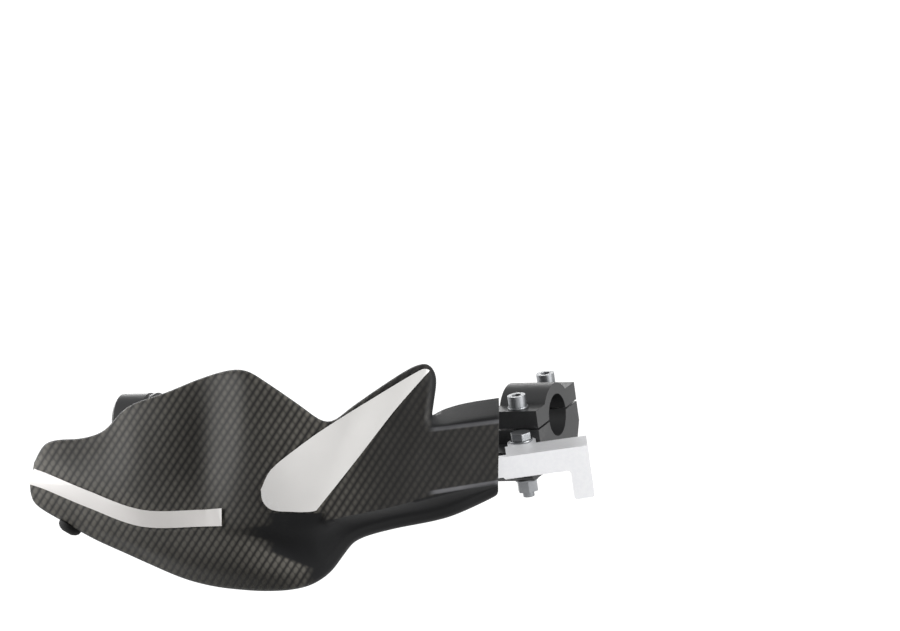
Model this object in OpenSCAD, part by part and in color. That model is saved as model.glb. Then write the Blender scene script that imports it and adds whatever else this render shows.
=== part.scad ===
// Hand guard for the throttle side of a motorcycle handlebar, with its mounting kit.
// +X runs along the handlebar towards the middle of the machine, -Y points forwards, +Z is up.
// The origin is on the bar's axis, in the middle of the inner clamp.

/* [Handlebar] */
// Outside diameter of the handlebar tube
bar_d = 22.2; // [20:0.1:24]
// Bore of the handlebar tube at its open end
bar_bore_d = 17; // [15:0.5:18]
// Distance from the middle of the inner clamp to the end of the bar
bar_reach = 210; // [204:1:220]

/* [Guard shell] */
// Wall thickness of the moulding
wall = 3; // [2.4:0.1:3.2]
// Radius of the folded edges
edge_r = 4; // [3.8:0.1:4.6]
// How far the shell reaches outwards past the bar's end
tip_reach = 75; // [70:1:80]
// Height of the hump over the datum line
hump_h = 24.5; // [18:0.5:30]
// Height of the wing's point over the datum line
wing_h = 27; // [22:0.5:32]
// Depth of the notch between hump and wing, under the datum line
notch_drop = 3.5; // [0:0.5:8]
// Depth of the belly under the datum line
belly_drop = 92.6; // [86:0.2:100]
// How far the belly curls back behind the face
belly_curl = 19; // [15:1:24]
// Depth of the groove between the outer end and the hump
groove = 9; // [4:0.5:12]
// Depth of the turned-back edges
lip = 8; // [5:0.5:12]
// Depth of the shelf beside the inner bracket
shelf = 24; // [18:1:28]
// Diameter of the screw bosses on the shell's inside
boss_d = 10; // [9.5:0.5:12]

/* [Panels] */
// Thickness of the silver panels
panel_t = 1; // [0.6:0.1:1.4]
// Width of the outer strip
strip_w = 9.4; // [7:0.2:10]

/* [Bar end] */
// Thickness of the outer arm's strap
arm_t = 3; // [2.5:0.5:4]
// Width of the outer arm's strap
arm_w = 18; // [16:1:22]
// Distance from the bar's axis to the front of the arm's flange
arm_reach = 82; // [79:0.5:84]
// Length of the arm's flange, inwards from the strap
arm_flange = 38; // [36:1:42]
// Diameter of the arm's eye
eye_d = 27; // [25:0.5:31]
// Diameter of the bar-end weight
weight_d = 31; // [29:0.5:36]
// Length of the bar-end weight
weight_l = 22; // [16:0.5:26]
// Thickness of the collar between eye and bar
collar_t = 4; // [2:0.5:6]
// Length of the rubber expander
expander_l = 24; // [18:1:30]
// Length of the expander's cone nut
cone_l = 12; // [10:1:16]

/* [Inner bracket] */
// Thickness of the bracket's plates
plate_t = 4; // [3:0.5:5]
// Height of the bracket's front web
web_h = 12.2; // [11.6:0.2:14]
// Height of the bracket's tongue, which lies behind the shell
tongue_h = 11; // [10.5:0.1:11.5]
// Width of the bracket's leg
leg_w = 10.6; // [8:0.2:12]
// Length of the bracket's leg, down from the top face
leg_l = 28.2; // [24:0.2:36]
// Distance from the bar's axis to the bracket's front face
web_front = 60; // [58.5:0.5:62]
// Reach of the bracket inwards from the clamp
bracket_in = 25; // [22:0.5:28]
// Reach of the bracket outwards from the clamp, behind the shell
bracket_out = 62; // [60:1:66]
// Depth of the bracket's top plate, from front to back
flange_deep = 20; // [18:1:22]

/* [Clamp] */
// Width of the clamp along the bar
clamp_w = 26; // [24:1:30]
// Thickness of the upper half over the bar
cap_t = 6; // [5:0.5:9]
// Thickness of the lower half under the bar
base_t = 13; // [12:0.5:15]
// Height of the clamp's ears over the split
ear_h = 10; // [9:0.5:11]
// Depth of the lug's top face, which carries the bracket, under the bar's axis
lug_drop = 8; // [7:0.5:9]
// Gap between the two halves
split = 1; // [0.6:0.1:2]

/* [Screws] */
// Diameter of the clamp, bracket and bar-end screws
screw_d = 6; // [5:0.5:6]
// Diameter of the small screws into the shell
small_d = 4; // [3:0.5:4]
// Length of the clamp screws under the head
clamp_screw_l = 25; // [22:1:28]

/* [Edge plug] */
// Diameter of the rubber plug's head, on the lower edge near the outer tip
plug_d = 13; // [10:0.5:14]
// Diameter of the hole that the plug fills
plug_hole = 5; // [4:0.5:6]

/* [Hidden] */
$fn = 64;

// Directions of the face: turned inwards by the sweep, leant back by the rake, then rolled level
face_sweep = 25;
face_rake = 15;
face_roll = 8;
along_raw = [cos(face_sweep), sin(face_sweep), 0];
up_raw = [-sin(face_sweep) * sin(face_rake), cos(face_sweep) * sin(face_rake), cos(face_rake)];
along = cos(face_roll) * along_raw - sin(face_roll) * up_raw;
up = sin(face_roll) * along_raw + cos(face_roll) * up_raw;
back = [-sin(face_sweep) * cos(face_rake), cos(face_sweep) * cos(face_rake), -sin(face_rake)];

// A point of the face frame, given as along, up and back, in the part's own frame
function placed(p) = p[0] * along + p[1] * up + p[2] * back;
// Where the bar's end lies along the face
bar_u = -bar_reach * along[0];
tip_u = bar_u - tip_reach;
// Where the wing's foot lies, and places from it to the bar's end and on to the outer tip
foot_u = -80;
function mid(k) = foot_u + k * (bar_u - foot_u);
function past(k) = bar_u - k * tip_reach;
// Depths of the outer arm's flange and of the inner bracket's web, which the face passes in front of
arm_z = -1;
arm_d = [-bar_reach, -arm_reach, arm_z] * back;
web_d = -web_front * cos(face_rake);
// The outer end's fold, which starts at the face's own slope there
end_slope = 54;
end_r = 2 * edge_r;
end_reach = end_r * (1 - sin(end_slope));

// A smooth curve through knots, each a parameter followed by its values
function vals(k) = [for (i = [1:len(k) - 1]) k[i]];
function span(c, s, i = 0) = i >= len(c) - 2 || s < c[i + 1][0] ? i : span(c, s, i + 1);
function slope(c, i) =
    let (a = max(i - 1, 0), b = min(i + 1, len(c) - 1))
    (vals(c[b]) - vals(c[a])) / (c[b][0] - c[a][0]);
function curve(c, s) =
    let (i = span(c, s), h = c[i + 1][0] - c[i][0], x = (s - c[i][0]) / h)
    (1 - x) * (1 - x) * ((1 + 2 * x) * vals(c[i]) + x * h * slope(c, i))
    + x * x * ((3 - 2 * x) * vals(c[i + 1]) - (1 - x) * h * slope(c, i + 1));

// Depth of the face's sweep, by its place along the face
sweep_line = [
    [tip_u - 8, arm_d + 42],
    [tip_u, arm_d + 33],
    [tip_u + 9, arm_d + 21],
    [past(0.56), arm_d - 4],
    [past(0.2), arm_d - 28],
    [mid(0.857), arm_d - 48],
    [mid(0.582), web_d + 8],
    [mid(0.269), web_d - 3],
    [-60, web_d - 7],
    [12, web_d - 5],
    [20, web_d - 5]];
function sweep(u) = curve(sweep_line, u)[0];

// Edges of the shell from its outer tip to its inner end: station, along, up, setback from the sweep
top_edge = [
    [0, tip_u + 2.6, -24.2, 4],
    [1, tip_u + 7.8, -15.4, 5.5],
    [2, past(0.787), -12.8, 6],
    [3, past(0.633), -12.1, 7],
    [4, past(0.467), -7.8, 7],
    [5, past(0.307), 4.7, 6],
    [6, past(0.04), 11.9, 8],
    [7, mid(0.839), hump_h - 4.1, groove + 6],
    [8, mid(0.669), hump_h, 7],
    [9, mid(0.542), hump_h - 7.4, 5],
    [10, mid(0.39), 5.5, 4],
    [11, mid(0.26), -notch_drop, 3],
    [12, mid(0.143), 5, 3],
    [13, foot_u, 16, 4],
    [14, -64.5, wing_h - 1.4, 3.5],
    [15, -56, wing_h - 0.2, 3],
    [16, -51.8, wing_h - 7.5, 2.5],
    [17, -53.3, wing_h - 21, 1],
    [18, -53.5, -4.4, 0],
    [19, -41, -3.2, 0],
    [20, -30, -1.3, 0],
    [21, -19, 0.4, 0]];
ridge = [
    [0, tip_u + end_reach, -37.6, 0],
    [1, tip_u + 8, -39.8, 0],
    [2, past(0.773), -43.5, 0],
    [3, past(0.6), -48.8, 0],
    [5, past(0.2), -59.2, 0],
    [7, mid(0.839), -59, 0],
    [9, mid(0.604), -58.6, -1],
    [11, mid(0.4), -57.5, -3],
    [13, mid(0.269), -55.5, -3],
    [15, mid(0.157), -52.8, -3],
    [17, -75.5, -48.2, -3],
    [19, -46, -40.5, -3],
    [21, -19.5, -34.8, -2]];
crease = [
    [0, tip_u + end_reach + 0.1, -39.9, 0.5],
    [1, tip_u + 8.2, -42.4, 0.5],
    [2, past(0.768), -46.2, 0.5],
    [3, past(0.593), -51.6, 0.5],
    [5, past(0.193), -62.2, 0.5],
    [7, mid(0.834), -62.4, 0.5],
    [8, mid(0.687), -63.4, 2],
    [9, mid(0.6), -66.5, 6],
    [10, mid(0.488), -71.8, 11.5],
    [11, mid(0.381), -77.6, 16.5],
    [12, mid(0.292), -76.8, 19.5],
    [13, mid(0.237), -69.6, 20.5],
    [14, mid(0.166), -60.6, 20.5],
    [16, -78.2, -53.8, 18.5],
    [18, -54.8, -49, 15],
    [19, -44, -45.8, 12.5],
    [20, -31.6, -41, 9],
    [21, -19.5, -37.2, 4.5]];
bottom_edge = [
    [0, tip_u + 1.9, -47, 4],
    [1, tip_u + 9, -51.6, 5],
    [2, past(0.74), -57.4, 7],
    [3, past(0.547), -65.5, 10],
    [4, past(0.333), -72.6, 14],
    [5, past(0.147), -78.8, belly_curl - 2],
    [6, mid(0.94), -86.2, belly_curl - 1],
    [7, mid(0.794), -90.3, belly_curl],
    [8, mid(0.66), -92, belly_curl],
    [9, mid(0.552), -belly_drop, belly_curl],
    [10, mid(0.434), 0.7 - belly_drop, belly_curl + 0.5],
    [11, mid(0.331), 3.6 - belly_drop, belly_curl + 2],
    [12, mid(0.246), -82.6, 23.5],
    [13, mid(0.188), -74.2, 24.5],
    [14, mid(0.127), -66.2, 24.5],
    [16, -76, -60.2, 22.5],
    [18, -53, -55.6, 18.5],
    [19, -42, -52.4, 16],
    [20, -29, -46.6, 12.5],
    [21, -19.4, -41.8, 7.5]];

// Crown of the face between its top edge and its ridge, by station
crown_line = [
    [0, 2],
    [3, 5],
    [5, 6],
    [6, 3],
    [7, -1],
    [8, 5],
    [9, 6],
    [11, 2],
    [13, 1],
    [17, 0],
    [21, 0]];
// Hollow of the underside between ridge and crease, by station
scoop_line = [
    [0, 0],
    [8, 0],
    [10, 4],
    [12, 6],
    [16, 5],
    [20, 1],
    [21, 0]];
// Turned-back edge along the top, by station: along, up and back
flange_line = [
    [0, 0.2, -0.3, 0.3],
    [2, 0.5, -1, 1],
    [16, 0, -0.5, 1],
    [17.4, 0, 0, 1],
    [18.4, 1, 8, shelf / lip],
    [21, 0, 9, shelf / lip]];

// Inward direction of an edge, square to its run in the face, upright at the inner end
function turned(v) = [-v[1], v[0], 0] / norm([v[0], v[1], 0]);
function flat(p) = [p[0], p[1], 0];
function inward(edge, toward, s, side, from) =
    s < from
    ? (flat(curve(toward, s)) - flat(curve(edge, s))) / norm(flat(curve(toward, s)) - flat(curve(edge, s)))
    : let (n = side * turned(curve(edge, min(s + 0.2, 21)) - curve(edge, s - 0.2)), x = max(0, s - 20))
    unit((1 - x) * n + x * [0, side, 0]);

// Rows down each station: turned-back edge, fold, face, underside, belly, fold, turned-back edge
top_rows = [[90, 1], [90, 0.5], [90, 0], [45, 0], [0, 0]];
face_steps = [0.1, 0.22, 0.36, 0.52, 0.68, 0.84, 1];
under_steps = [0.33, 0.67, 1];
belly_steps = [0.3, 0.58, 0.8];
bottom_rows = [[20, 0], [70, 0], [90, 1]];
ridge_row = len(top_rows) + len(face_steps) - 1;
middle_rows = len(face_steps) + len(under_steps) + len(belly_steps);

// Columns from the outer tip: station and turn of the end's fold
step = 1 / 3;
end_turns = [90, 78, 66];
end_cols = len(end_turns);
columns = [for (b = end_turns) [0, b], for (s = [0:step:21.01]) [min(s, 21), 0]];

function deep(p) = [p[0], p[1], sweep(p[0]) + p[2]];
// Turn of each row's fold, and its inward direction
turns = [
    for (r = top_rows) r[0],
    for (i = [1:middle_rows]) 0,
    for (r = bottom_rows) r[0]];
function inwards(s, j) =
    j < len(top_rows) ? inward(top_edge, ridge, s, -1, 2.6) : inward(bottom_edge, crease, s, 1, 2.6);
function station(s, b) =
    let (
        t = curve(top_edge, s),
        m = curve(ridge, s),
        n = curve(crease, s),
        e = curve(bottom_edge, s),
        in_t = inwards(s, 0),
        in_b = inwards(s, len(turns)),
        fl = curve(flange_line, s),
        start = t + edge_r * in_t,
        end = e + edge_r * in_b,
        end_fold = b > 0 ? [0, 0, end_r * (cos(end_slope) - cos(b))] : [0, 0, 0])
    [
        for (r = top_rows)
            deep(t) + edge_r * (1 - sin(r[0])) * in_t + r[1] * [fl[0], fl[1], lip * fl[2]]
            + edge_r * (1 - cos(r[0])) * [0, 0, cos(b)] + end_fold,
        for (f = face_steps)
            let (q = start + (m - start) * f)
            deep(q) - [0, 0, curve(crown_line, s)[0] * sin(180 * f)] + end_fold,
        for (f = under_steps)
            let (q = m + (n - m) * f)
            deep(q) + [0, 0, curve(scoop_line, s)[0] * sin(180 * f)] + end_fold,
        for (f = belly_steps)
            let (q = n + (end - n) * f, curl = e[2] - n[2])
            deep([q[0], q[1], n[2] + curl * (1 - sqrt(1 - 0.9 * f * f))]) + end_fold,
        for (r = bottom_rows)
            deep(e) + edge_r * (1 - sin(r[0])) * in_b + r[1] * [0, 0, lip * min(fl[2], 1)]
            + edge_r * (1 - cos(r[0])) * [0, 0, cos(b)] + end_fold
    ];

// The outer end runs on along each row's own line as it folds back
first = station(0, 0);
second = station(0.4, 0);
function unit(v) = v / norm(v);
end_dirs = [for (j = [0:len(first) - 1]) unit(flat(first[j]) - flat(second[j]))];
outer = [for (c = columns)
    let (points = station(c[0], c[1]), run = c[1] > 0 ? end_r * (sin(c[1]) - sin(end_slope)) : 0)
    [for (j = [0:len(points) - 1]) points[j] + run * end_dirs[j]]];
cols = len(outer);
rows = len(outer[0]);

// Outward direction of the face at a grid point, and the depth that one unit of wall takes there
function at(g, i, j) = g[max(0, min(i, cols - 1))][max(0, min(j, rows - 1))];
function facing(i, j) = unit(cross(
    at(outer, i + 1, j) - at(outer, i - 1, j),
    at(outer, i, j + 1) - at(outer, i, j - 1)));
face_rows = [len(top_rows), len(turns) - len(bottom_rows) - 1];
// Direction into the wall on the face: square to it near the outer end, along the depth elsewhere
function into(i, j) =
    let (
        k = max(face_rows[0], min(j, face_rows[1])),
        n = -facing(i, k),
        x = max(0, min(1, (7 - columns[i][0]) / 2)))
    x * n + (1 - x) * [0, 0, 1 / max(abs(n[2]), 0.45)];
// The face's grid moved into the wall by a distance
function corner_in(j) = (j < len(top_rows) ? 1 : -1) * turned(end_dirs[j]);
function shift(i, j) =
    let (a = turns[j], s = columns[i][0], b = columns[i][1], x = min(s, 1))
    b > 0
    ? sin(a) * corner_in(j) + (1 - sin(a)) * [sin(b), 0, cos(b)]
    : sin(a) * unit((1 - x) * corner_in(j) + x * inwards(s, j)) + cos(a) * into(i, j);
function moved(w) = [for (i = [0:cols - 1]) [for (j = [0:rows - 1]) outer[i][j] + w * shift(i, j)]];

// A closed skin between two grids, the first one outside
module skin(front, rear) {
    n = len(front);
    m = len(front[0]);
    points = [
        for (col = front) for (p = col) placed(p),
        for (col = rear) for (p = col) placed(p)];
    half = n * m;
    faces = [
        for (i = [0:n - 2]) for (j = [0:m - 2]) each [
            [i * m + j, (i + 1) * m + j, (i + 1) * m + j + 1],
            [i * m + j, (i + 1) * m + j + 1, i * m + j + 1],
            [half + i * m + j, half + (i + 1) * m + j + 1, half + (i + 1) * m + j],
            [half + i * m + j, half + i * m + j + 1, half + (i + 1) * m + j + 1]],
        for (i = [0:n - 2]) each [
            [i * m, half + i * m, half + (i + 1) * m],
            [i * m, half + (i + 1) * m, (i + 1) * m],
            [i * m + m - 1, half + (i + 1) * m + m - 1, half + i * m + m - 1],
            [i * m + m - 1, (i + 1) * m + m - 1, half + (i + 1) * m + m - 1]],
        for (j = [0:m - 2]) each [
            [j, half + j + 1, half + j],
            [j, j + 1, half + j + 1],
            [(n - 1) * m + j, half + (n - 1) * m + j, half + (n - 1) * m + j + 1],
            [(n - 1) * m + j, half + (n - 1) * m + j + 1, (n - 1) * m + j + 1]]];
    polyhedron(points, faces);
}

// Part of a grid, by station and row
function col_at(s) = end_cols + round(s / step);
function patch(g, from, to, top, low) =
    [for (i = [col_at(from):col_at(to)]) [for (j = [top:low]) g[i][j]]];
function pushed(g, by) = [for (col = g) [for (p = col) p + [0, 0, by]]];

// Turns from the face frame into the part's own frame
module in_face() {
    multmatrix([
        [along[0], up[0], back[0], 0],
        [along[1], up[1], back[1], 0],
        [along[2], up[2], back[2], 0]])
    children();
}

// Screw places on the shell: outer ones along the bar, inner ones along the bracket
strap_x = -bar_reach - collar_t - arm_t;
outer_screw_x = [strap_x + 13, strap_x + 29];
inner_screw_r = [8 - bracket_out, 26 - bracket_out];
insert_d = small_d + 2;
insert_l = 6;
small_clear = small_d + 0.5;
washer_t = 1;
screw_clear = screw_d + 0.5;
bar_r = bar_d / 2;

// Turns from the inner bracket's frame, square to the shell's inner end
module in_bracket() {
    rotate([0, 0, face_sweep])
    children();
}

// Heights of the bracket's top plate, and of its screws in the middle of the web
flange_z = -lug_drop;
web_z = flange_z + plate_t - tongue_h / 2;
module outer_boss_places() {
    for (x = outer_screw_x) translate([x, -arm_reach, arm_z]) rotate([90, 0, 0]) children();
}
module inner_boss_places() {
    in_bracket()
    for (r = inner_screw_r) translate([r, -web_front, web_z]) rotate([90, 0, 0]) children();
}

// Turns the Z axis towards a direction
module toward(v) {
    rotate([0, acos(v[2]), atan2(v[1], v[0])]) children();
}
// The edge plug's place, on the turned-back lower edge, pointing into the shell
plug_station = 2.17;
plug_edge = curve(bottom_edge, plug_station);
plug_dir = turned(curve(bottom_edge, plug_station + 0.1) - curve(bottom_edge, plug_station - 0.1));
module plug_place() {
    translate(placed(deep(plug_edge) + [0, 0, edge_r + lip / 2]))
    toward(placed(plug_dir))
    children();
}

// Room behind the middle of the wall, over part of the shell, which trims a boss to the moulding
boss_room = 30;
module behind(from, to, top, low) {
    part = patch(moved(wall / 2), from, to, top, low);
    skin(part, pushed(part, 2 * boss_room));
}
// The moulded shell with its screw bosses
module guard_shell() {
    color([0.16, 0.16, 0.16])
    difference() {
        union() {
            skin(outer, moved(wall));
            intersection() {
                outer_boss_places() cylinder(d = boss_d, h = boss_room);
                behind(2, 7, 5, 11);
            }
            intersection() {
                inner_boss_places() cylinder(d = boss_d, h = boss_room);
                behind(17, 21, 6, 12);
            }
        }
        outer_boss_places() translate([0, 0, -1]) cylinder(d = insert_d, h = insert_l + 1);
        inner_boss_places() translate([0, 0, -1]) cylinder(d = insert_d, h = insert_l + 1);
        plug_place() translate([0, 0, -wall]) cylinder(d = plug_hole, h = 3 * wall);
    }
}

// The rubber plug in the lower edge: a domed head, a stem and a barb behind the wall
module edge_plug() {
    gap = 0.2;
    head_h = 3.8;
    barb_h = 3;
    color([0.06, 0.06, 0.06])
    plug_place()
    rotate_extrude()
    polygon([
        [0, -gap - head_h],
        [plug_d * 0.22, -gap - head_h],
        [plug_d * 0.38, 1 - gap - head_h],
        [plug_d * 0.47, 2.2 - gap - head_h],
        [plug_d / 2, -gap - 0.6],
        [plug_d / 2 - 0.4, -gap],
        [plug_hole / 2 - gap, -gap],
        [plug_hole / 2 - gap, wall + gap],
        [plug_hole / 2 + 1, wall + gap],
        [plug_hole / 2 + 1, wall + gap + 1],
        [plug_hole / 2 - 0.6, wall + gap + barb_h],
        [0, wall + gap + barb_h]]);
}

// Deeper than the whole face, for cuts that go right through it
room = 100;
// Outline of the wing's panel, a slim teardrop with a cut-off foot
wing_line = [
    [0, mid(0.573), -39],
    [1, mid(0.564), -45],
    [2, mid(0.521), -49.6],
    [3, mid(0.421), -50.6],
    [4, mid(0.322), -50.2],
    [4.6, mid(0.292), -47],
    [6, mid(0.108), -21.1],
    [7, -74, 2.3],
    [8, -57.5, 21.2],
    [8.6, -55.4, 23.6],
    [9, -57.6, 24.4],
    [9.5, -61, 23.4],
    [11, mid(0.014), 11.2],
    [12, mid(0.259), -5.8],
    [13, mid(0.403), -17.2],
    [14, mid(0.524), -28.4],
    [15, mid(0.573), -39]];
module wing_panel() {
    color([0.85, 0.85, 0.86])
    intersection() {
        skin(patch(moved(-panel_t), 8, 18, 2, ridge_row), patch(outer, 8, 18, 2, ridge_row));
        in_face()
        translate([0, 0, -room])
        linear_extrude(2 * room)
        polygon([for (k = [0.25:0.25:15]) let (p = curve(wing_line, k)) [p[0], p[1]]]);
    }
}
module outer_strip() {
    low = [for (s = [0.5:0.25:7]) curve(ridge, s)];
    start = -35.6;
    foot = -58.2;
    chamfer = 1;
    color([0.88, 0.88, 0.88])
    intersection() {
        skin(patch(moved(-panel_t), -1, 9, 6, ridge_row + 1), patch(outer, -1, 9, 6, ridge_row + 1));
        in_face()
        translate([0, 0, -room])
        linear_extrude(2 * room)
        polygon([
            [tip_u - 4, start],
            for (p = low) [p[0], p[1] + 0.5],
            [mid(0.758) + chamfer, foot],
            [mid(0.758), foot + chamfer],
            [mid(0.758), foot + strip_w],
            for (k = [len(low) - 1:-1:0]) [low[k][0], low[k][1] + strip_w],
            [tip_u - 4, start + strip_w]]);
    }
}

// Brass inserts in the bosses
module insert() {
    color([0.75, 0.6, 0.3])
    difference() {
        cylinder(d = insert_d, h = insert_l);
        translate([0, 0, -1]) cylinder(d = small_d, h = insert_l + 2);
    }
}
module outer_inserts() { outer_boss_places() insert(); }
module inner_inserts() { inner_boss_places() insert(); }

// A small button-head screw, its head on the rear side
module small_screw(grip) {
    head_h = small_d * 0.6;
    color([0.12, 0.12, 0.12])
    difference() {
        union() {
            translate([0, 0, -grip]) cylinder(d = small_d, h = grip + insert_l - 0.5);
            translate([0, 0, -grip])
            rotate([180, 0, 0])
            rotate_extrude()
            polygon([[0, 0], [small_d, 0], [small_d * 0.8, head_h * 0.7], [small_d * 0.4, head_h], [0, head_h]]);
        }
        translate([0, 0, -grip - head_h - 1]) cylinder(d = small_d * 0.6, h = 1 + head_h * 0.6, $fn = 6);
    }
}
module ring(d, bore, h) {
    difference() {
        cylinder(d = d, h = h);
        translate([0, 0, -1]) cylinder(d = bore, h = h + 2);
    }
}

// Section of a bent plate, its outer corner at the origin
module bent(a, b, t, r) {
    difference() {
        union() {
            translate([r, 0]) square([a - r, t]);
            translate([0, r]) square([t, b - r]);
            intersection() {
                translate([r, r]) circle(r = r);
                square(r);
            }
        }
        translate([r, r]) circle(r = r - t);
    }
}

// The outer arm: a bent strap from the bar's end to the shell
module outer_arm() {
    color([0.1, 0.1, 0.1])
    difference() {
        union() {
            translate([strap_x, 0, 0]) rotate([0, 90, 0]) cylinder(d = eye_d, h = arm_t);
            translate([strap_x, -arm_reach, arm_z - arm_w / 2])
            linear_extrude(arm_w)
            bent(arm_flange, arm_reach, arm_t, arm_t + 4);
        }
        translate([strap_x - 1, 0, 0]) rotate([0, 90, 0]) cylinder(d = screw_clear, h = arm_t + 2);
        outer_boss_places() translate([0, 0, -arm_t - 1]) cylinder(d = small_clear, h = arm_t + 2);
    }
}
module outer_arm_screws() {
    outer_boss_places() small_screw(arm_t + washer_t);
}
module outer_arm_washers() {
    color([0.7, 0.7, 0.7])
    outer_boss_places() translate([0, 0, -arm_t - washer_t]) ring(small_d * 2.25, small_clear, washer_t);
}

// The bar end, from the collar outwards
module along_bar(x) {
    translate([x, 0, 0]) rotate([0, 90, 0]) children();
}
weight_x = strap_x - weight_l;
head_h = screw_d;
recess = head_h + washer_t + 2;
collar_d = bar_d + 2;
module bar_end_collar() {
    color([0.1, 0.1, 0.1])
    along_bar(-bar_reach - collar_t) ring(collar_d, screw_clear, collar_t);
}
module bar_end_weight() {
    color([0.09, 0.09, 0.09])
    along_bar(weight_x)
    rotate_extrude()
    polygon([
        [screw_clear / 2, recess],
        [screw_d + 1, recess],
        [screw_d + 1, 1],
        [screw_d + 2, 0],
        [weight_d / 2 - 1.5, 0],
        [weight_d / 2, 1.5],
        [weight_d / 2, weight_l - 5],
        [weight_d / 2 - 0.8, weight_l - 4.2],
        [weight_d / 2 - 0.8, weight_l - 3],
        [weight_d / 2, weight_l - 2.2],
        [weight_d / 2, weight_l - 0.6],
        [weight_d / 2 - 0.6, weight_l],
        [screw_clear / 2, weight_l]]);
}
module socket_screw(l) {
    difference() {
        union() {
            cylinder(d = screw_d, h = l);
            translate([0, 0, -head_h]) cylinder(d = screw_d * 1.6, h = head_h);
        }
        translate([0, 0, -head_h - 1]) cylinder(d = screw_d * 0.9, h = 1 + head_h * 0.55, $fn = 6);
    }
}
bolt_x = weight_x + recess - washer_t;
module bar_end_bolt() {
    color([0.5, 0.5, 0.5])
    along_bar(bolt_x) socket_screw(-bar_reach + expander_l + cone_l - 1 - bolt_x);
}
module bar_end_washer() {
    color([0.7, 0.7, 0.7])
    along_bar(bolt_x) ring(screw_d * 2, screw_clear, washer_t);
}
cone_d = bar_bore_d - 1;
module expander_sleeve() {
    color([0.08, 0.08, 0.08])
    along_bar(-bar_reach)
    rotate_extrude()
    polygon([
        [screw_clear / 2, 0],
        [bar_bore_d / 2 - 0.3, 0],
        [bar_bore_d / 2 - 0.3, expander_l],
        [cone_d / 2 - 1, expander_l],
        [screw_clear / 2 + 1, expander_l - cone_l / 2],
        [screw_clear / 2, expander_l - cone_l / 2]]);
}
module expander_nut() {
    color([0.65, 0.65, 0.65])
    along_bar(-bar_reach)
    rotate_extrude()
    polygon([
        [screw_d / 2, expander_l - cone_l / 2],
        [screw_clear / 2 + 1, expander_l - cone_l / 2],
        [cone_d / 2 - 1, expander_l],
        [cone_d / 2, expander_l],
        [cone_d / 2, expander_l + cone_l],
        [screw_d / 2, expander_l + cone_l]]);
}

// The inner bracket: a flange over the clamp's lug, a web behind the shell and a leg
lug_r = screw_d + 1.5;
clamp_screw_y = sqrt(pow(bar_r + cap_t, 2) - pow(ear_h, 2)) + screw_d * 0.9 + 0.4;
ear_y = clamp_screw_y + screw_d + 0.5;
lug_gap = 0.6;
bolt_y = -ear_y - lug_r - lug_gap;
bracket_bolt_x = 6;
lug_t = bar_r + base_t - lug_drop;
module bracket_bolt_place() {
    translate([bracket_bolt_x, bolt_y, flange_z]) children();
}
// Points of an arc, by its centre, radius and turn
function arc(c, r, from, to) =
    [for (k = [0:6]) let (a = from + (to - from) * k / 6) c + r * [cos(a), sin(a)]];
module inner_bracket() {
    top = flange_z + plate_t;
    low = top - web_h;
    tongue_low = top - tongue_h;
    foot = top - leg_l;
    leg_x = bracket_in - leg_w;
    tongue_r = 5;
    foot_r = 1.5;
    inner_r = 2;
    shoulder = 20;
    flange_out = lug_r + 1.5 - bracket_bolt_x * cos(face_sweep) - bolt_y * sin(face_sweep);
    color([0.86, 0.87, 0.88])
    difference() {
        union() {
            in_bracket()
            translate([0, plate_t - web_front, 0])
            rotate([90, 0, 0])
            linear_extrude(plate_t)
            polygon([
                [bracket_in, top],
                each arc([tongue_r - bracket_out, top - tongue_r], tongue_r, 90, 180),
                each arc([tongue_r - bracket_out, tongue_low + tongue_r], tongue_r, 180, 270),
                [low - tongue_low - shoulder, tongue_low],
                [-shoulder, low],
                each arc([leg_x - inner_r, low - inner_r], inner_r, 90, 0),
                each arc([leg_x + foot_r, foot + foot_r], foot_r, 180, 270),
                each arc([bracket_in - foot_r, foot + foot_r], foot_r, 270, 360)]);
            in_bracket()
            translate([-flange_out, -web_front, flange_z])
            cube([flange_out + bracket_in, flange_deep, plate_t]);
            bracket_bolt_place() cylinder(r = lug_r, h = plate_t);
            bracket_bolt_place()
            rotate([0, 0, face_sweep])
            translate([-lug_r, -lug_r - flange_deep / 2, 0])
            cube([2 * lug_r, lug_r + flange_deep / 2, plate_t]);
        }
        bracket_bolt_place() translate([0, 0, -1]) cylinder(d = screw_clear, h = plate_t + 2);
        inner_boss_places() translate([0, 0, -plate_t - 1]) cylinder(d = small_clear, h = plate_t + 2);
    }
}
module inner_bracket_screws() {
    inner_boss_places() small_screw(plate_t + washer_t);
}
module inner_bracket_washers() {
    color([0.7, 0.7, 0.7])
    inner_boss_places() translate([0, 0, -plate_t - washer_t]) ring(small_d * 2.25, small_clear, washer_t);
}

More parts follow.
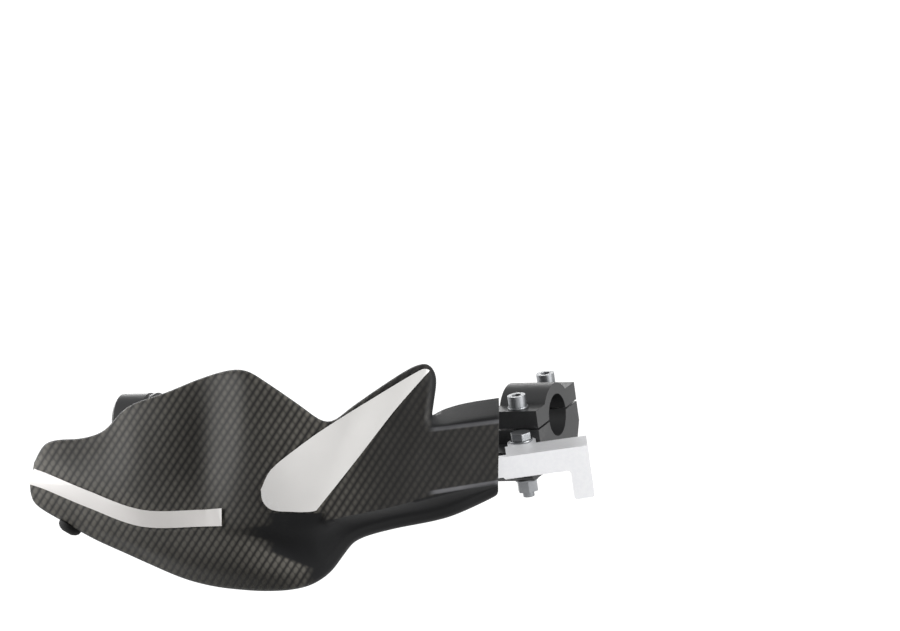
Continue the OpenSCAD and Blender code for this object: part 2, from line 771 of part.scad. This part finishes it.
// The clamp round the handlebar, in two halves
base_z = -bar_r - base_t;
module clamp_profile() {
    rotate([90, 0, 90])
    translate([0, 0, -clamp_w / 2])
    linear_extrude(clamp_w)
    difference() {
        children();
        circle(r = bar_r);
    }
}
module clamp_upper() {
    color([0.12, 0.12, 0.12])
    difference() {
        clamp_profile()
        difference() {
            union() {
                circle(r = bar_r + cap_t);
                translate([-ear_y, 0]) square([2 * ear_y, ear_h]);
            }
            translate([-room, split / 2 - room]) square([2 * room, room]);
        }
        for (y = [-clamp_screw_y, clamp_screw_y])
            translate([0, y, -1]) cylinder(d = screw_clear, h = ear_h + 2);
    }
}
module clamp_lower() {
    ear_taper = 8;
    lug_chamfer = 2;
    color([0.12, 0.12, 0.12])
    difference() {
        clamp_profile()
        polygon([
            [ear_y, -split / 2],
            [ear_y, -bar_r],
            [ear_y - ear_taper, base_z],
            [bolt_y - lug_r + lug_chamfer, base_z],
            [bolt_y - lug_r, base_z + lug_chamfer],
            [bolt_y - lug_r, flange_z],
            [-ear_y, flange_z],
            [-ear_y, -split / 2]]);
        for (y = [-clamp_screw_y, clamp_screw_y])
            translate([0, y, ear_h - clamp_screw_l - 1]) cylinder(d = screw_d, h = clamp_screw_l + 1);
        translate([bracket_bolt_x, bolt_y, base_z - 1]) cylinder(d = screw_clear, h = lug_t + 2);
    }
}
module clamp_screw_places() {
    for (y = [-clamp_screw_y, clamp_screw_y]) translate([0, y, ear_h]) children();
}
module clamp_screws() {
    color([0.55, 0.55, 0.55])
    clamp_screw_places() translate([0, 0, washer_t]) mirror([0, 0, 1]) socket_screw(clamp_screw_l);
}
module clamp_washers() {
    color([0.7, 0.7, 0.7])
    clamp_screw_places() ring(screw_d * 1.8, screw_clear, washer_t);
}

// The bolt, washers and nut that hold the bracket to the clamp's lug
nut_h = screw_d;
hex_d = screw_d * 1.9;
bolt_head_h = 4;
bolt_spare = 3;
module bracket_bolt() {
    color([0.6, 0.6, 0.62])
    bracket_bolt_place() {
        translate([0, 0, -lug_t - washer_t - nut_h - bolt_spare])
        cylinder(d = screw_d, h = plate_t + 2 * washer_t + lug_t + nut_h + bolt_spare);
        translate([0, 0, plate_t + washer_t]) cylinder(d = hex_d, h = bolt_head_h, $fn = 6);
    }
}
module bracket_washers() {
    color([0.7, 0.7, 0.7])
    bracket_bolt_place() {
        translate([0, 0, plate_t]) ring(screw_d * 2, screw_clear, washer_t);
        translate([0, 0, -lug_t - washer_t]) ring(screw_d * 2, screw_clear, washer_t);
    }
}
module bracket_nut() {
    color([0.6, 0.6, 0.62])
    bracket_bolt_place()
    translate([0, 0, -lug_t - washer_t - nut_h])
    difference() {
        cylinder(d = hex_d, h = nut_h, $fn = 6);
        translate([0, 0, -1]) cylinder(d = screw_d, h = nut_h + 2);
    }
}

guard_shell();
edge_plug();
wing_panel();
outer_strip();
outer_inserts();
inner_inserts();
outer_arm();
outer_arm_screws();
outer_arm_washers();
bar_end_collar();
bar_end_weight();
bar_end_bolt();
bar_end_washer();
expander_sleeve();
expander_nut();
inner_bracket();
inner_bracket_screws();
inner_bracket_washers();
clamp_upper();
clamp_lower();
clamp_screws();
clamp_washers();
bracket_bolt();
bracket_washers();
bracket_nut();
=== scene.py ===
import math

import bpy
from mathutils import Matrix, Vector


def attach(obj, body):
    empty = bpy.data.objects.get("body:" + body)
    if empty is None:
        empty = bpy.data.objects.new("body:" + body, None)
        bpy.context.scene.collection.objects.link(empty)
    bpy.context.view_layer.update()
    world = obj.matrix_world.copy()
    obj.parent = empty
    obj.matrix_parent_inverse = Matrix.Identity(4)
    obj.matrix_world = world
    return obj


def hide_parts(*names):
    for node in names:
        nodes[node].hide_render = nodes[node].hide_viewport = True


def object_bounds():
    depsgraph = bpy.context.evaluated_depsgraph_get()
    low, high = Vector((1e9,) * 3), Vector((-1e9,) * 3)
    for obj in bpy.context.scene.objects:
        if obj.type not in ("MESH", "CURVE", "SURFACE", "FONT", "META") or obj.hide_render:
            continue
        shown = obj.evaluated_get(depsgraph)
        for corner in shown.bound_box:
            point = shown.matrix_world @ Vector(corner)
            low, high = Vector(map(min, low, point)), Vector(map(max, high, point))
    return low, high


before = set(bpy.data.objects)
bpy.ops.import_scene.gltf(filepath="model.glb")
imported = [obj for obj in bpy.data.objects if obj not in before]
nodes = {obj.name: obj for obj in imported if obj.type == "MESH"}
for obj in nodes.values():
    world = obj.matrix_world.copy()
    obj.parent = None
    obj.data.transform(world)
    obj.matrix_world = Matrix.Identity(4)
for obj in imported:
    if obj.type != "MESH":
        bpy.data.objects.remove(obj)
cad_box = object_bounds()
MM = 0.001

# Directions of the shell's face: turned inwards, leant back, then rolled level
SWEEP, RAKE, ROLL = (math.radians(turn) for turn in (25, 15, 8))
flat_along = Vector((math.cos(SWEEP), math.sin(SWEEP), 0))
flat_up = Vector((-math.sin(SWEEP) * math.sin(RAKE), math.cos(SWEEP) * math.sin(RAKE),
                  math.cos(RAKE)))
ALONG = math.cos(ROLL) * flat_along - math.sin(ROLL) * flat_up
UP = math.sin(ROLL) * flat_along + math.cos(ROLL) * flat_up
BACK = Vector((-math.sin(SWEEP) * math.cos(RAKE), math.cos(SWEEP) * math.cos(RAKE),
               -math.sin(RAKE)))
FACE = Matrix((ALONG, UP, -BACK))


# Selecting and shaping

def take(piece):
    bpy.ops.object.select_all(action="DESELECT")
    piece.select_set(True)
    bpy.context.view_layer.objects.active = piece


def edit(piece):
    """Opens a piece in edit mode with all of it selected."""
    take(piece)
    bpy.ops.object.mode_set(mode="EDIT")
    bpy.ops.mesh.select_mode(type="VERT")
    bpy.ops.mesh.select_all(action="SELECT")


def done():
    bpy.ops.object.mode_set(mode="OBJECT")


def finished(piece, kind, **settings):
    """Applies one modifier, given by its kind and settings."""
    take(piece)
    made = piece.modifiers.new(kind.lower(), kind)
    for name, value in settings.items():
        setattr(made, name, value)
    bpy.ops.object.modifier_apply(modifier=made.name)


def smooth(piece, angle):
    take(piece)
    bpy.ops.object.shade_smooth_by_angle(angle=math.radians(angle))


def copy_of(node, name):
    """A merged copy of a CAD node, ready to be finished."""
    piece = bpy.data.objects.new(name, nodes[node].data.copy())
    piece.data.materials.clear()
    bpy.context.scene.collection.objects.link(piece)
    edit(piece)
    bpy.ops.mesh.remove_doubles(threshold=0.005 * MM)
    done()
    return piece


def trimmed(piece, place, way):
    """Cuts a piece flat at a plane and closes the cut."""
    edit(piece)
    bpy.ops.mesh.bisect(plane_co=place * way, plane_no=way, use_fill=True, clear_outer=True)
    done()


def dress(piece, node, slot):
    piece.data.materials.clear()
    piece.data.materials.append(FINISHES[slot])
    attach(piece, "root")
    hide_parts(node)


# Material nodes

def colour(tone, tint=(1, 1, 1)):
    return tuple(tone * c for c in tint) + (1,)


def blank(name):
    material = bpy.data.materials.new(name)
    material.use_nodes = True
    tree = material.node_tree
    return material, tree, tree.nodes["Principled BSDF"]


def group(name, inputs, outputs):
    tree = bpy.data.node_groups.new(name, "ShaderNodeTree")
    for label, kind, value in inputs:
        socket = tree.interface.new_socket(label, in_out="INPUT", socket_type=kind)
        socket.default_value = value
    for label, kind in outputs:
        tree.interface.new_socket(label, in_out="OUTPUT", socket_type=kind)
    return tree, tree.nodes.new("NodeGroupInput"), tree.nodes.new("NodeGroupOutput")


def feed(tree, socket, value):
    """Links a socket to another, or gives it a plain value."""
    if isinstance(value, bpy.types.NodeSocket):
        tree.links.new(value, socket)
    else:
        socket.default_value = value


def put(tree, kind, settings=None, **inputs):
    """Adds a node; an input is named, or i and its number."""
    made = tree.nodes.new(kind)
    for name, value in (settings or {}).items():
        setattr(made, name, value)
    for label, value in inputs.items():
        numbered = label[0] == "i" and label[1:].isdigit()
        feed(tree, made.inputs[int(label[1:]) if numbered else label], value)
    return made


def grouped(tree, shared, **inputs):
    made = tree.nodes.new("ShaderNodeGroup")
    made.node_tree = shared
    for label, value in inputs.items():
        feed(tree, made.inputs[label], value)
    return made


def math_node(tree, operation, a, b=0.0, c=0.0):
    return put(tree, "ShaderNodeMath", {"operation": operation}, i0=a, i1=b, i2=c).outputs[0]


def times(tree, a, b):
    return math_node(tree, "MULTIPLY", a, b)


def highest(tree, first, *others):
    for other in others:
        first = math_node(tree, "MAXIMUM", first, other)
    return first


def scaled(tree, value, factor, base):
    """The value times a factor, added to a base."""
    return math_node(tree, "MULTIPLY_ADD", value, factor, base)


def mix_colour(tree, share, a, b):
    made = put(tree, "ShaderNodeMix", {"data_type": "RGBA"}, i0=share, i6=a, i7=b)
    return made.outputs[2]


def tinted(tree, base, tone):
    return put(tree, "ShaderNodeVectorMath", {"operation": "SCALE"}, i0=base,
               Scale=tone).outputs[0]


def dot(tree, a, b):
    made = put(tree, "ShaderNodeVectorMath", {"operation": "DOT_PRODUCT"}, i0=a, i1=b)
    return made.outputs["Value"]


def grows(tree, value, span, least=0.0, most=1.0):
    """A share that grows while the value crosses the span."""
    made = put(tree, "ShaderNodeMapRange", {"interpolation_type": "SMOOTHSTEP"},
               i0=value, i1=span[0], i2=span[1], i3=least, i4=most)
    return made.outputs[0]


def fades(tree, value, span, most=1.0, least=0.0):
    """A share that fades while the value crosses the span."""
    return grows(tree, value, span, most, least)


# Shared effects

SLOW_SCALE = 38.0
PATCH_SCALE = 420.0
PATCHES = (0.38, 0.62)
RAISED_EDGE = (0.53, 0.64)


def make_grain():
    """Fine moulded or blasted grain: a height, and a slow change of tone."""
    tree, given, out = group("fine_grain", [("Scale", "NodeSocketFloat", 1500.0)],
                             [("Height", "NodeSocketFloat"), ("Tone", "NodeSocketFloat")])
    place = tree.nodes.new("ShaderNodeTexCoord").outputs["Object"]
    fine = put(tree, "ShaderNodeTexNoise", Vector=place, Scale=given.outputs["Scale"],
               Detail=4.0, Roughness=0.6)
    slow = put(tree, "ShaderNodeTexNoise", Vector=place, Scale=SLOW_SCALE,
               Detail=3.0, Roughness=0.55)
    feed(tree, out.inputs["Height"], fine.outputs[0])
    feed(tree, out.inputs["Tone"], slow.outputs[0])
    return tree


def make_wear():
    """Edges rubbed a little lighter, broken up by noise."""
    tree, given, out = group(
        "edge_wear",
        [("Colour", "NodeSocketColor", colour(0.1)), ("Worn", "NodeSocketColor", colour(0.3)),
         ("Amount", "NodeSocketFloat", 0.5)],
        [("Colour", "NodeSocketColor"), ("Mask", "NodeSocketFloat")])
    place = tree.nodes.new("ShaderNodeTexCoord").outputs["Object"]
    point = tree.nodes.new("ShaderNodeNewGeometry").outputs["Pointiness"]
    patchy = put(tree, "ShaderNodeTexNoise", Vector=place, Scale=PATCH_SCALE,
                 Detail=4.0, Roughness=0.65)
    rubbed = times(tree, grows(tree, point, RAISED_EDGE),
                   grows(tree, patchy.outputs[0], PATCHES))
    mask = times(tree, rubbed, given.outputs["Amount"])
    feed(tree, out.inputs["Colour"],
         mix_colour(tree, mask, given.outputs["Colour"], given.outputs["Worn"]))
    feed(tree, out.inputs["Mask"], mask)
    return tree


# The printed twill. Places on the face are millimetres along it and up it, from the middle of
# the clamp's bore. A share grows or fades between the two numbers of a span. A line on the face
# is its rise for each millimetre along, and its height beside the bore.

# Stripes, as turns for each millimetre along, up and out of the face
STRIPES, STRIPE_SHARP = (0.2375, -0.152, 0.0), 1.5
BREAKS, BREAK_SHARP = (0.231, 0.19, 0.0), 1.0
BREAK_DEPTH = 0.6

# How far a surface faces up or to the front, as the cosine of its turn
# Faces turned down lose the print and go plain black, which also paints shade on the underside
NOT_UNDER, IN_FRONT, HIGHLIGHT_IN_FRONT = (-0.62, -0.38), (0.12, 0.4), (0.0, 0.2)

# The outboard end and the belly carry the print also where they face down
OUTBOARD_END = (-160.0, -142.0)
CREASE, UNDER_CREASE = (-0.41, -127.5), (-2.5, 0.0)
BELLY_END = (-119.0, -109.0)
# Painted light: the print's dashes on the belly, under the crease, are made this much lighter
BELLY_PAINTED_LIGHT = 0.4

# Plain fields, also painted shade: under the lower fold, on the ledge and beneath the wing panel
FOLD, UNDER_FOLD, FOLD_START = (0.164, -36.3), (-1.6, -0.4), (-124.0, -115.0)
LEDGE, ON_LEDGE, LEDGE_START = (0.123, -0.8), (-0.6, 0.2), (-57.0, -53.5)
PANEL_FOOT, PANEL_OUTER, PANEL_INNER = (-51.6, -50.8), (-144.0, -136.0), (-113.0, -109.0)

# Painted highlights: two light lines on the rims at the inner end, by the distance from their
# lines
LOW_HIGHLIGHT_LINE, LOW_HIGHLIGHT_WIDTH = (0.159, -31.8), (0.5, 1.5)
HIGH_HIGHLIGHT_WIDTH, HIGH_HIGHLIGHT_SHARE = (0.4, 1.6), 0.6
HIGHLIGHT_START = (-57.0, -51.0)


def make_weave():
    """Printed twill on the bias: strong stripes, and weaker ones that break them into dashes."""
    # Besides the print, this group gives the masks for painted shade and painted rim highlights
    tree, given, out = group(
        "carbon_twill_and_painted_light",
        [("Stripes", "NodeSocketVector", STRIPES), ("Breaks", "NodeSocketVector", BREAKS)],
        [("Dash", "NodeSocketFloat"), ("Film_Less_Shade", "NodeSocketFloat"),
         ("Along", "NodeSocketFloat"), ("Edge", "NodeSocketFloat")])
    place = tree.nodes.new("ShaderNodeTexCoord")
    turned = put(tree, "ShaderNodeMapping", Vector=place.outputs["Object"],
                 Rotation=FACE.to_euler(), Scale=(1 / MM, 1 / MM, 1 / MM))
    split = put(tree, "ShaderNodeSeparateXYZ", Vector=turned.outputs[0])
    along, height = split.outputs[0], split.outputs[1]

    def wave(ways, sharp):
        phase = dot(tree, turned.outputs[0], given.outputs[ways])
        hump = math_node(tree, "SINE", times(tree, math_node(tree, "FRACT", phase), math.pi))
        return math_node(tree, "POWER", hump, sharp)

    def facing(way):
        return dot(tree, place.outputs["Normal"], tuple(way))

    def above(line):
        rise, level = line
        return scaled(tree, along, -rise, math_node(tree, "SUBTRACT", height, level))

    def beside(line):
        return math_node(tree, "ABSOLUTE", above(line))

    under_crease = fades(tree, above(CREASE), UNDER_CREASE)
    broken = scaled(tree, wave("Breaks", BREAK_SHARP), BREAK_DEPTH, 1 - BREAK_DEPTH)
    dash = times(tree, wave("Stripes", STRIPE_SHARP), broken)
    # Painted light: lighter dashes on the belly under the crease
    dash = times(tree, dash, scaled(tree, under_crease, BELLY_PAINTED_LIGHT, 1.0))

    # Turned-down faces lose the print, except at the outboard end and the belly: plain black as
    # painted shade
    shown = highest(tree, grows(tree, facing(UP), NOT_UNDER),
                    fades(tree, along, OUTBOARD_END),
                    times(tree, under_crease, fades(tree, along, BELLY_END)))
    # Plain black fields, also painted shade, under the lower fold, on the ledge and beneath the
    # panel
    unprinted_shade_under_fold = times(tree, fades(tree, above(FOLD), UNDER_FOLD),
                       grows(tree, along, FOLD_START))
    unprinted_shade_on_ledge = times(tree, grows(tree, above(LEDGE), ON_LEDGE),
                     grows(tree, along, LEDGE_START))
    unprinted_shade_beneath_panel = times(tree, fades(tree, height, PANEL_FOOT),
                          times(tree, grows(tree, along, PANEL_OUTER),
                                fades(tree, along, PANEL_INNER)))
    unprinted_shade_beneath_panel = times(tree, unprinted_shade_beneath_panel, scaled(tree, under_crease, -1.0, 1.0))
    plain = highest(tree, unprinted_shade_under_fold, unprinted_shade_on_ledge, unprinted_shade_beneath_panel)
    front = grows(tree, facing(-BACK), IN_FRONT)
    film = times(tree, times(tree, front, shown), scaled(tree, plain, -1.0, 1.0))

    # Painted highlight: light lines along the low rim and the ledge's rim, on faces towards the
    # front
    rim = highest(tree, fades(tree, beside(LOW_HIGHLIGHT_LINE), LOW_HIGHLIGHT_WIDTH),
                  fades(tree, beside(LEDGE), HIGH_HIGHLIGHT_WIDTH, HIGH_HIGHLIGHT_SHARE))
    rim = times(tree, rim, grows(tree, along, HIGHLIGHT_START))
    feed(tree, out.inputs["Dash"], dash)
    feed(tree, out.inputs["Film_Less_Shade"], film)
    feed(tree, out.inputs["Along"], along)
    feed(tree, out.inputs["Edge"],
         times(tree, rim, grows(tree, facing(-BACK), HIGHLIGHT_IN_FRONT)))
    return tree


GRAIN, WEAR, WEAVE = make_grain(), make_wear(), make_weave()


# Finishes

TONE_SPAN = (0.3, 0.7)
FILM_SPREAD = 0.15

# The print grows weaker towards the inner end of the shell
PRINT_FADE, INNER_PRINT = (-118.0, -70.0), 0.22

# Plain moulded black: the unprinted inside, and painted shade on turned-down faces and plain
# fields
PLAIN_BLACK_AND_SHADE = colour(0.008, (0.98, 1, 1.06))
PRINT_GROUND = colour(0.0145, (1.03, 1, 0.99))
PRINT_DASH = colour(0.104, (1.06, 1, 0.88))
# Painted highlight colour for the two rims at the inner end, and how far it shows
PAINTED_RIM_HIGHLIGHT, RIM_HIGHLIGHT_SHARE = colour(0.16, (1, 1, 1.06)), 0.8
RUBBED_BLACK = colour(0.13)


def slow_tone(tree, grain, spread):
    return grows(tree, grain.outputs["Tone"], TONE_SPAN, 1 - spread, 1 + spread)


def carbon_film_and_painted_light():
    """Satin carbon print on the outside of the moulding, plain grained plastic behind."""
    # Besides the print, plain black paints shade below, and the inner rims get a painted
    # highlight
    material, tree, shader = blank("carbon_film_and_painted_light")
    weave = grouped(tree, WEAVE)
    grain = grouped(tree, GRAIN, Scale=900.0)
    film, grain_height = weave.outputs["Film_Less_Shade"], grain.outputs["Height"]
    strength = fades(tree, weave.outputs["Along"], PRINT_FADE, 1.0, INNER_PRINT)
    dash = times(tree, weave.outputs["Dash"], times(tree, film, strength))
    # Plain black where the film is absent: the unprinted inside, and painted shade below folds
    # and faces
    base = mix_colour(tree, dash, mix_colour(tree, film, PLAIN_BLACK_AND_SHADE, PRINT_GROUND), PRINT_DASH)
    # Painted highlight: the rims at the inner end are coloured lighter
    base = mix_colour(tree, times(tree, weave.outputs["Edge"], RIM_HIGHLIGHT_SHARE), base, PAINTED_RIM_HIGHLIGHT)
    shaded = tinted(tree, base, slow_tone(tree, grain, FILM_SPREAD))
    worn = grouped(tree, WEAR, Colour=shaded, Worn=RUBBED_BLACK, Amount=0.25)
    feed(tree, shader.inputs["Base Color"], worn.outputs["Colour"])
    rough = scaled(tree, grain_height, 0.08, scaled(tree, film, -0.04, 0.62))
    feed(tree, shader.inputs["Roughness"], rough)
    bump = put(tree, "ShaderNodeBump", Strength=0.35, Distance=0.12 * MM,
               Height=scaled(tree, grain_height, 0.5, dash))
    feed(tree, shader.inputs["Normal"], bump.outputs[0])
    shader.inputs["Coat Weight"].default_value = 0.02
    shader.inputs["Coat Roughness"].default_value = 0.35
    shader.inputs["Specular IOR Level"].default_value = 0.12
    return material


# How much the grain roughens a finish, and how much rubbed edges are polished
GRAIN_ROUGH = 0.14
RUB_POLISH = 0.12


def solid_finish(name, base, worn, rough, metal=0.0, grain_scale=1500.0, depth=0.04, wear=0.4,
                 coat=0.0, spread=0.1, gloss=0.5):
    """A finish of one colour with grain, slow changes of tone and rubbed edges.

    The depth of the grain is in millimetres, and the spread is how far the tone changes.
    """
    material, tree, shader = blank(name)
    grain = grouped(tree, GRAIN, Scale=grain_scale)
    tone = tinted(tree, base[:3], slow_tone(tree, grain, spread))
    edges = grouped(tree, WEAR, Colour=tone, Worn=worn, Amount=wear)
    feed(tree, shader.inputs["Base Color"], edges.outputs["Colour"])
    level = scaled(tree, grain.outputs["Height"], GRAIN_ROUGH, rough - GRAIN_ROUGH / 2)
    feed(tree, shader.inputs["Roughness"],
         scaled(tree, edges.outputs["Mask"], -RUB_POLISH, level))
    bump = put(tree, "ShaderNodeBump", Strength=0.4, Distance=depth * MM,
               Height=grain.outputs["Height"])
    feed(tree, shader.inputs["Normal"], bump.outputs[0])
    shader.inputs["Metallic"].default_value = metal
    shader.inputs["Coat Weight"].default_value = coat
    shader.inputs["Specular IOR Level"].default_value = gloss
    return material


FINISHES = {
    "carbon_look_shell": carbon_film_and_painted_light(),
    "silver_panel": solid_finish(
        "silver_film", colour(0.78, (1, 0.983, 0.96)), colour(0.88), 0.4, metal=0.1,
        grain_scale=2600.0, wear=0.5, spread=0.02, coat=0.1),
    "white_strip": solid_finish(
        "white_film", colour(0.75, (1, 0.968, 0.94)), colour(0.84), 0.4,
        grain_scale=2600.0, wear=0.3, spread=0.02, coat=0.1),
    "silver_bracket": solid_finish(
        "blasted_aluminium", colour(0.78, (0.99, 0.995, 1.02)), colour(0.86), 0.5, metal=0.1,
        grain_scale=2200.0, depth=0.02, wear=0.3, spread=0.015),
    "black_aluminium": solid_finish(
        "black_anodised", colour(0.017, (0.98, 1, 1.04)), colour(0.05), 0.45,
        grain_scale=2600.0, depth=0.01, wear=0.3, spread=0.05, gloss=0.35),
    "black_steel": solid_finish(
        "black_oxide", colour(0.018), colour(0.08), 0.4, metal=0.3, gloss=0.3),
    "zinc_steel": solid_finish(
        "zinc_plate", colour(0.2, (0.97, 1, 1.04)), colour(0.4), 0.42, metal=1.0, wear=0.5),
    "brass": solid_finish(
        "turned_brass", colour(1.0, (0.62, 0.45, 0.18)), colour(1.0, (0.8, 0.66, 0.35)), 0.3,
        metal=1.0),
    "black_rubber": solid_finish(
        "black_rubber", colour(0.016), colour(0.04), 0.75, grain_scale=700.0, depth=0.08,
        wear=0.3, gloss=0.2),
}


# The moulded shell: the CAD faces as quads, smoothed into one flowing surface

# How far back the outer tip reaches, behind the datum plane of the face
TIP_BACK = 50 * MM

# Triangles join into quads up to one angle, and folds sharper than the other stay crisp
QUAD_ANGLE, FOLD_ANGLE = math.radians(50), math.radians(72)
FOLD_CREASE = 0.9


def guard_shell():
    piece = copy_of("guard_shell", "shell")
    edit(piece)
    bpy.ops.mesh.tris_convert_to_quads(face_threshold=QUAD_ANGLE, shape_threshold=QUAD_ANGLE)
    bpy.ops.mesh.select_all(action="DESELECT")
    bpy.ops.mesh.select_mode(type="EDGE")
    bpy.ops.mesh.edges_select_sharp(sharpness=FOLD_ANGLE)
    bpy.ops.transform.edge_crease(value=FOLD_CREASE)
    done()
    finished(piece, "SUBSURF", levels=1, render_levels=1)
    trimmed(piece, TIP_BACK, BACK)
    smooth(piece, 40)
    dress(piece, "guard_shell", "carbon_look_shell")


guard_shell()


# Rigid pieces: each a copy of its solid with flat faces joined and edges broken

# Where the outer strip ends, along the face
STRIP_END = -164.6 * MM

# The way the edge plug points into the shell, and the rim of its head, from its outer face
PLUG_WAY = Vector((0.4707, 0.4447, 0.762))
HEAD_RIM = (2.9 * MM, 4.1 * MM)
HEAD_LIFT = 0.8 * MM

FLAT_ANGLE = math.radians(0.5)


def seat_head(piece):
    """Lifts the rim of the plug's head to the shell's rounded edge."""
    heights = [vertex.co.dot(PLUG_WAY) for vertex in piece.data.vertices]
    low, high = (min(heights) + limit for limit in HEAD_RIM)
    edit(piece)
    bpy.ops.mesh.select_all(action="DESELECT")
    done()
    for vertex, height in zip(piece.data.vertices, heights):
        vertex.select = low < height < high
    bpy.ops.object.mode_set(mode="EDIT")
    bpy.ops.transform.translate(value=HEAD_LIFT * PLUG_WAY)
    done()


def machined(node, slot, broken, angle=40):
    """A CAD node with its edges broken, where they are sharper than an angle in degrees."""
    piece = copy_of(node, node + "_finished")
    if node == "outer_strip":
        trimmed(piece, STRIP_END, ALONG)
        trimmed(piece, TIP_BACK, BACK)
    if node == "edge_plug":
        seat_head(piece)
    edit(piece)
    bpy.ops.mesh.dissolve_limited(angle_limit=FLAT_ANGLE)
    done()
    finished(piece, "BEVEL", width=broken * MM, segments=2, limit_method="ANGLE",
             angle_limit=math.radians(angle), use_clamp_overlap=True)
    smooth(piece, 35)
    finished(piece, "WEIGHTED_NORMAL", keep_sharp=True)
    dress(piece, node, slot)


# Each node, its finish, the width of its broken edges in millimetres, and their angle
RIGID = [
    ("wing_panel", "silver_panel", 0.25, 60),
    ("outer_strip", "white_strip", 0.25, 60),
    ("edge_plug", "black_rubber", 0.2, 50),
    ("outer_inserts", "brass", 0.2),
    ("inner_inserts", "brass", 0.2),
    ("outer_arm", "black_aluminium", 0.5),
    ("outer_arm_screws", "black_steel", 0.2),
    ("outer_arm_washers", "zinc_steel", 0.15),
    ("bar_end_collar", "black_aluminium", 0.4),
    ("bar_end_weight", "black_aluminium", 0.3),
    ("bar_end_bolt", "zinc_steel", 0.3),
    ("bar_end_washer", "zinc_steel", 0.15),
    ("expander_sleeve", "black_rubber", 0.4),
    ("expander_nut", "zinc_steel", 0.3),
    ("inner_bracket", "silver_bracket", 0.6),
    ("inner_bracket_screws", "black_steel", 0.2),
    ("inner_bracket_washers", "zinc_steel", 0.15),
    ("clamp_upper", "black_aluminium", 0.7),
    ("clamp_lower", "black_aluminium", 0.7),
    ("clamp_screws", "zinc_steel", 0.3),
    ("clamp_washers", "zinc_steel", 0.15),
    ("bracket_bolt", "zinc_steel", 0.3),
    ("bracket_washers", "zinc_steel", 0.15),
    ("bracket_nut", "zinc_steel", 0.3),
]
for row in RIGID:
    machined(*row)


# Camera: the photograph's own direction, through a long lens

IMAGE_W, IMAGE_H = 900, 631
PX_PER_MM = 1.9
BORE_PX = (535, 415)
LENS, SENSOR = 1200, 36
NEAREST, FURTHEST = 0.1, 60


def make_camera():
    data = bpy.data.cameras.new("camera")
    camera = bpy.data.objects.new("camera", data)
    bpy.context.scene.collection.objects.link(camera)
    data.lens = LENS
    data.sensor_width = SENSOR
    data.clip_start, data.clip_end = NEAREST, FURTHEST
    px = MM / PX_PER_MM
    along = (IMAGE_W / 2 - BORE_PX[0]) * px
    up = (BORE_PX[1] - IMAGE_H / 2) * px
    distance = IMAGE_W * px * LENS / SENSOR
    place = Matrix.Translation(along * ALONG + up * UP - distance * BACK)
    camera.matrix_world = place @ FACE.transposed().to_4x4()
    bpy.context.scene.camera = camera


make_camera()


# Floor, white surroundings and soft studio light

FLOOR_DROP = 0.12
FLOOR_SIZE = 30

# The floor's glow dims near the guard, so that the shadow shows there
SHADOW_REACH, SHADOW_GLOW = (0.4, 1.6), 0.78

# What the floor and the surroundings give to the object, and what the camera sees of the floor
FLOOR_LIGHT, FLOOR_SEEN = colour(0.03), colour(0.35)
AMBIENT = 0.12


def seen_white(tree):
    """All for what the camera and reflections see, and none for the light on the object."""
    path = tree.nodes.new("ShaderNodeLightPath").outputs
    seen = math_node(tree, "ADD", path["Is Camera Ray"], path["Is Glossy Ray"])
    seen = math_node(tree, "ADD", seen, path["Is Transmission Ray"])
    return math_node(tree, "MINIMUM", seen, 1.0)


def make_floor():
    """A pale floor that shows the shadow near the guard and runs out to plain white."""
    bpy.ops.object.select_all(action="DESELECT")
    level = cad_box[0].z - FLOOR_DROP
    bpy.ops.mesh.primitive_plane_add(size=FLOOR_SIZE, location=(0, 0, level))
    floor = bpy.context.active_object
    floor.name = "floor"
    material, tree, shader = blank("white_floor")
    place = tree.nodes.new("ShaderNodeTexCoord").outputs["Object"]
    far = put(tree, "ShaderNodeVectorMath", {"operation": "LENGTH"}, i0=place)
    seen = seen_white(tree)
    white = grows(tree, far.outputs["Value"], SHADOW_REACH, SHADOW_GLOW)
    feed(tree, shader.inputs["Base Color"], mix_colour(tree, seen, FLOOR_LIGHT, FLOOR_SEEN))
    feed(tree, shader.inputs["Emission Strength"], times(tree, seen, white))
    shader.inputs["Emission Color"].default_value = colour(1)
    shader.inputs["Roughness"].default_value = 0.9
    shader.inputs["Specular IOR Level"].default_value = 0.0
    floor.data.materials.append(material)


def make_world():
    world = bpy.data.worlds.new("studio")
    bpy.context.scene.world = world
    world.use_nodes = True
    tree = world.node_tree
    shade = tree.nodes["Background"]
    feed(tree, shade.inputs["Strength"], grows(tree, seen_white(tree), (0.0, 1.0), AMBIENT))
    shade.inputs["Color"].default_value = colour(1)


# The point that the lamps are aimed at
MIDDLE = Vector((-0.13, -0.06, 0))


def lamp(name, left, height, distance, size, power):
    """A soft lamp, placed by its turn to the camera's left and its height, both in degrees."""
    left, height = math.radians(left), math.radians(height)
    level_along = Vector((ALONG.x, ALONG.y, 0)).normalized()
    level_back = Vector((BACK.x, BACK.y, 0)).normalized()
    way = math.cos(height) * (-math.sin(left) * level_along - math.cos(left) * level_back)
    way = way + Vector((0, 0, math.sin(height)))
    data = bpy.data.lights.new(name, "AREA")
    data.shape = "RECTANGLE"
    data.size, data.size_y = size
    data.energy = power
    light = bpy.data.objects.new(name, data)
    bpy.context.scene.collection.objects.link(light)
    turn = (-way).to_track_quat("-Z", "Y").to_matrix().to_4x4()
    light.matrix_world = Matrix.Translation(MIDDLE + distance * way) @ turn


make_floor()
make_world()
lamp("key_lamp", left=100, height=16, distance=1.5, size=(0.7, 0.9), power=27)
lamp("front_lamp", left=-58, height=12, distance=1.8, size=(0.9, 0.7), power=50)
lamp("rear_lamp", left=165, height=8, distance=1.8, size=(1.2, 0.9), power=24)

bpy.context.scene.view_settings.view_transform = "Standard"
